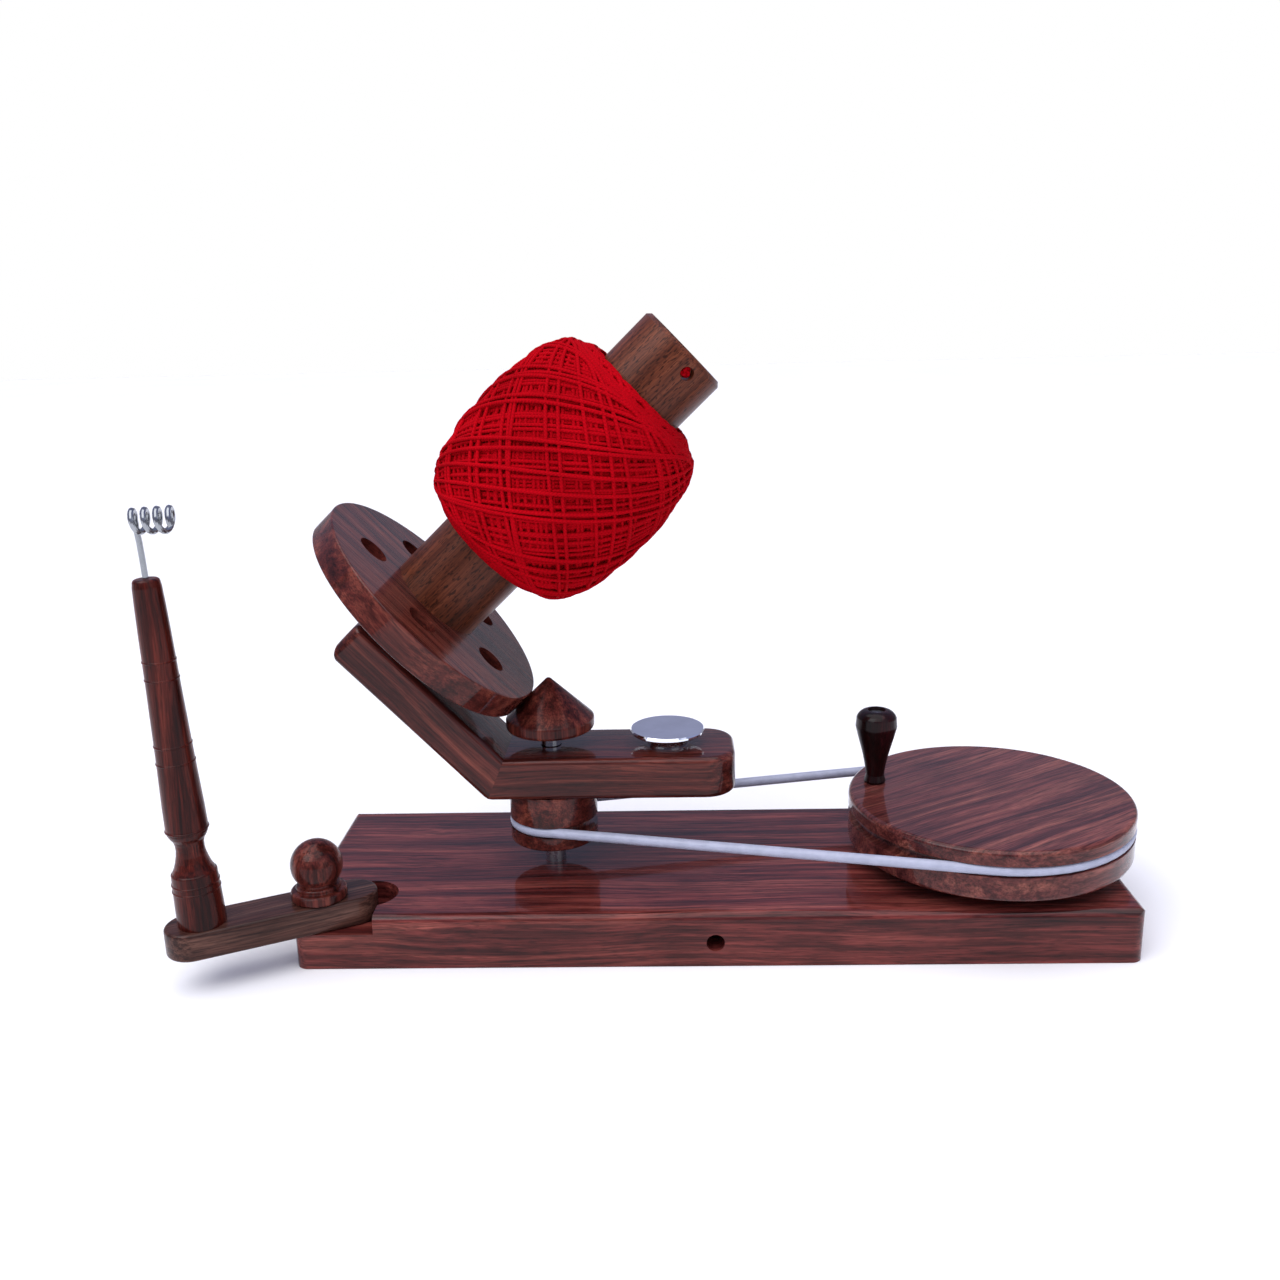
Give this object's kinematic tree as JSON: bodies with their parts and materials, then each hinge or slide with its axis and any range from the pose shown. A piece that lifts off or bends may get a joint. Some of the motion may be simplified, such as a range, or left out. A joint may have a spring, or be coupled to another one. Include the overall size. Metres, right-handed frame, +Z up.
{
  "type": "ball winder",
  "caption": "Hand-cranked wooden yarn ball winder: belt-driven flyer carrying a tilted, friction-turned winding tube, on a board with a turned yarn guide.",
  "frame": {"origin": "centre of the base board's underside", "axes": "+X along the base towards the drive wheel, +Y away from the user, +Z up"},
  "size_m": [0.4645, 0.158, 0.2977],
  "materials": {
    "rosewood": "gloss varnish over straight dark grain",
    "turned_wood": "gloss varnish on turned wood",
    "tube_wood": "satin varnish over fine dotted grain",
    "steel": "ground",
    "chrome": "polished",
    "brass": "turned",
    "belt": "translucent white polyurethane cord",
    "yarn": "plied wool, cross-wound"
  },
  "bodies": {
    "base": {"base_board": "rosewood", "clamp_insert": "brass", "spindle": "steel", "spindle_collar": "chrome", "cone_washer": "chrome", "friction_cone": "rosewood", "wheel_bushing": "brass", "drive_belt": "belt"},
    "drive_wheel": {"drive_wheel": "rosewood", "wheel_axle": "steel", "wheel_spacer": "chrome", "axle_nut": "steel", "crank_screw": "steel"},
    "crank_handle": {"crank_handle": "turned_wood"},
    "flyer": {"arm_bar": "rosewood", "slant_bar": "rosewood", "mitre_dowels": "turned_wood", "drive_pulley": "turned_wood", "pulley_screws": "steel", "lower_bearing": "steel", "upper_bearing": "steel", "counterweight": "chrome", "counterweight_screw": "steel", "bobbin_axle": "steel", "axle_spacer": "chrome", "bobbin_nut": "steel", "tube_nut": "steel"},
    "bobbin": {"flange_disc": "rosewood", "winding_tube": "tube_wood", "tube_hub": "tube_wood", "disc_bearing": "steel", "hub_bearing": "steel", "yarn_end": "yarn"},
    "yarn_ball": {"yarn_ball": "yarn"},
    "guide": {"guide_arm": "rosewood", "guide_post": "turned_wood", "post_screw": "steel", "guide_wire": "chrome"},
    "clamp_washer": {"clamp_washer": "steel"},
    "clamp_knob": {"clamp_knob": "turned_wood", "clamp_bolt": "steel"}
  },
  "joints": [
    {"name": "drive_wheel_spin", "type": "hinge", "parent": "base", "child": "drive_wheel", "pos_m": [0.1405, 0, 0.0475], "axis": [0, 0, 1], "continuous": true},
    {"name": "crank_handle_spin", "type": "hinge", "parent": "drive_wheel", "child": "crank_handle", "pos_m": [0.08561, 0.01678, 0.08], "axis": [0, 0, 1], "continuous": true},
    {"name": "flyer_spin", "type": "hinge", "parent": "base", "child": "flyer", "pos_m": [-0.08, 0, 0.07875], "axis": [0, 0, 1], "continuous": true},
    {"name": "bobbin_spin", "type": "hinge", "parent": "flyer", "child": "bobbin", "pos_m": [-0.1326, 0, 0.1654], "axis": [0.7242, 0, 0.6896], "continuous": true},
    {"name": "yarn_ball_pull_off", "type": "slide", "parent": "bobbin", "child": "yarn_ball", "axis": [0.7242, 0, 0.6896], "range_m": [0, 0.14]},
    {"name": "guide_arm_swing", "type": "hinge", "parent": "base", "child": "guide", "pos_m": [-0.1891, -0.0494, 0.0247], "axis": [0, 0, 1], "range_deg": [-4, 4]},
    {"name": "clamp_lift", "type": "slide", "parent": "base", "child": "clamp_washer", "axis": [0, 0, 1], "range_m": [0, 0.0021]},
    {"name": "clamp_knob_turn", "type": "hinge", "parent": "clamp_washer", "child": "clamp_knob", "pos_m": [-0.1891, -0.0494, 0.04], "axis": [0, 0, 1], "range_deg": [0, 720]}
  ],
  "couplings": [
    {"joint": "flyer_spin", "follows": "drive_wheel_spin", "ratio": 3.39},
    {"joint": "bobbin_spin", "follows": "drive_wheel_spin", "ratio": 0.6548},
    {"joint": "clamp_lift", "follows": "clamp_knob_turn", "m_per_rad": 0.00015915}
  ]
}
